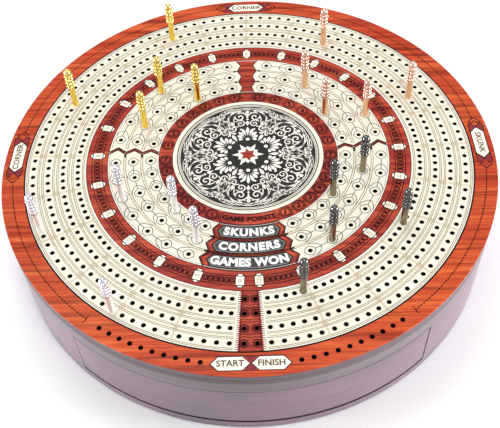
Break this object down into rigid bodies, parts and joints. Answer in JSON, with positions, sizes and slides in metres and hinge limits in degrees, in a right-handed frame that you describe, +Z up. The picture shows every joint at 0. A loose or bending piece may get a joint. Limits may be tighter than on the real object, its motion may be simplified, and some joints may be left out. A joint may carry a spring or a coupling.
{
  "type": "cribbage board",
  "caption": "Round cribbage board inlaid in pale and red woods, with tracks of peg holes, a scoring area, a curved drawer in its side and domed metal pegs.",
  "frame": {"origin": "on the table under the centre of the board", "axes": "+Z up out of the playing face; -Y towards the drawer and the start of the tracks; +X to the right of the player at the drawer"},
  "size_m": [0.3, 0.3, 0.0919],
  "materials": {
    "case_wood": "satin, reddish grey",
    "rim_wood": "satin, orange-red with dark streaks",
    "red_wood": "satin, deep red",
    "maple": "satin, very pale",
    "ivory_wood": "satin, very pale",
    "dark_panel": "satin, near black",
    "drawer_wood": "fine sanded, bare",
    "felt": "pressed felt",
    "screw_steel": "zinc plated",
    "magnet_metal": "nickel plated",
    "brass": "polished",
    "copper": "polished copper",
    "black_metal": "polished gunmetal",
    "silver_metal": "polished"
  },
  "bodies": {
    "board": {"felt_feet": "felt", "base_plate": "case_wood", "base_screws": "screw_steel", "case_body": "case_wood", "case_magnets": "magnet_metal", "core_board": "case_wood", "start_tag": "ivory_wood", "finish_tag": "ivory_wood", "corner_tag_left": "ivory_wood", "corner_tag_back": "ivory_wood", "skunk_tag": "ivory_wood", "rim_ring": "rim_wood", "main_tracks": "maple", "spine_strip": "red_wood", "lower_sector_left": "maple", "lower_sector_right": "maple", "upper_sector_left": "maple", "upper_sector_right": "maple", "skunks_panel": "dark_panel", "corners_panel": "dark_panel", "games_panel": "dark_panel", "scoring_frame": "red_wood", "number_plaques": "ivory_wood", "medallion_disc": "maple", "medallion_star": "red_wood"},
    "drawer": {"drawer_front": "case_wood", "drawer_floor": "drawer_wood", "drawer_side_left": "drawer_wood", "drawer_side_right": "drawer_wood", "drawer_back": "drawer_wood", "drawer_magnets": "magnet_metal", "cross_divider": "drawer_wood", "well_divider_left": "drawer_wood", "well_divider_right": "drawer_wood"},
    "peg_brass_1": {"peg_brass_1": "brass"},
    "peg_brass_2": {"peg_brass_2": "brass"},
    "peg_brass_3": {"peg_brass_3": "brass"},
    "peg_brass_4": {"peg_brass_4": "brass"},
    "peg_brass_5": {"peg_brass_5": "brass"},
    "peg_copper_1": {"peg_copper_1": "copper"},
    "peg_copper_2": {"peg_copper_2": "copper"},
    "peg_copper_3": {"peg_copper_3": "copper"},
    "peg_copper_4": {"peg_copper_4": "copper"},
    "peg_copper_5": {"peg_copper_5": "copper"},
    "peg_black_1": {"peg_black_1": "black_metal"},
    "peg_black_2": {"peg_black_2": "black_metal"},
    "peg_black_3": {"peg_black_3": "black_metal"},
    "peg_black_4": {"peg_black_4": "black_metal"},
    "peg_black_5": {"peg_black_5": "black_metal"},
    "peg_silver_1": {"peg_silver_1": "silver_metal"},
    "peg_silver_2": {"peg_silver_2": "silver_metal"},
    "peg_silver_3": {"peg_silver_3": "silver_metal"},
    "peg_silver_4": {"peg_silver_4": "silver_metal"},
    "peg_silver_5": {"peg_silver_5": "silver_metal"}
  },
  "joints": [
    {"name": "drawer_slide", "type": "slide", "parent": "board", "child": "drawer", "axis": [0, -1, 0], "range_m": [0, 0.19]},
    {"name": "peg_brass_1_lift", "type": "slide", "parent": "board", "child": "peg_brass_1", "axis": [0, 0, 1], "range_m": [0, 0.012]},
    {"name": "peg_brass_2_lift", "type": "slide", "parent": "board", "child": "peg_brass_2", "axis": [0, 0, 1], "range_m": [0, 0.012]},
    {"name": "peg_brass_3_lift", "type": "slide", "parent": "board", "child": "peg_brass_3", "axis": [0, 0, 1], "range_m": [0, 0.012]},
    {"name": "peg_brass_4_lift", "type": "slide", "parent": "board", "child": "peg_brass_4", "axis": [0, 0, 1], "range_m": [0, 0.012]},
    {"name": "peg_brass_5_lift", "type": "slide", "parent": "board", "child": "peg_brass_5", "axis": [0, 0, 1], "range_m": [0, 0.012]},
    {"name": "peg_copper_1_lift", "type": "slide", "parent": "board", "child": "peg_copper_1", "axis": [0, 0, 1], "range_m": [0, 0.012]},
    {"name": "peg_copper_2_lift", "type": "slide", "parent": "board", "child": "peg_copper_2", "axis": [0, 0, 1], "range_m": [0, 0.012]},
    {"name": "peg_copper_3_lift", "type": "slide", "parent": "board", "child": "peg_copper_3", "axis": [0, 0, 1], "range_m": [0, 0.012]},
    {"name": "peg_copper_4_lift", "type": "slide", "parent": "board", "child": "peg_copper_4", "axis": [0, 0, 1], "range_m": [0, 0.012]},
    {"name": "peg_copper_5_lift", "type": "slide", "parent": "board", "child": "peg_copper_5", "axis": [0, 0, 1], "range_m": [0, 0.012]},
    {"name": "peg_black_1_lift", "type": "slide", "parent": "board", "child": "peg_black_1", "axis": [0, 0, 1], "range_m": [0, 0.012]},
    {"name": "peg_black_2_lift", "type": "slide", "parent": "board", "child": "peg_black_2", "axis": [0, 0, 1], "range_m": [0, 0.012]},
    {"name": "peg_black_3_lift", "type": "slide", "parent": "board", "child": "peg_black_3", "axis": [0, 0, 1], "range_m": [0, 0.012]},
    {"name": "peg_black_4_lift", "type": "slide", "parent": "board", "child": "peg_black_4", "axis": [0, 0, 1], "range_m": [0, 0.012]},
    {"name": "peg_black_5_lift", "type": "slide", "parent": "board", "child": "peg_black_5", "axis": [0, 0, 1], "range_m": [0, 0.012]},
    {"name": "peg_silver_1_lift", "type": "slide", "parent": "board", "child": "peg_silver_1", "axis": [0, 0, 1], "range_m": [0, 0.012]},
    {"name": "peg_silver_2_lift", "type": "slide", "parent": "board", "child": "peg_silver_2", "axis": [0, 0, 1], "range_m": [0, 0.012]},
    {"name": "peg_silver_3_lift", "type": "slide", "parent": "board", "child": "peg_silver_3", "axis": [0, 0, 1], "range_m": [0, 0.012]},
    {"name": "peg_silver_4_lift", "type": "slide", "parent": "board", "child": "peg_silver_4", "axis": [0, 0, 1], "range_m": [0, 0.012]},
    {"name": "peg_silver_5_lift", "type": "slide", "parent": "board", "child": "peg_silver_5", "axis": [0, 0, 1], "range_m": [0, 0.012]}
  ]
}
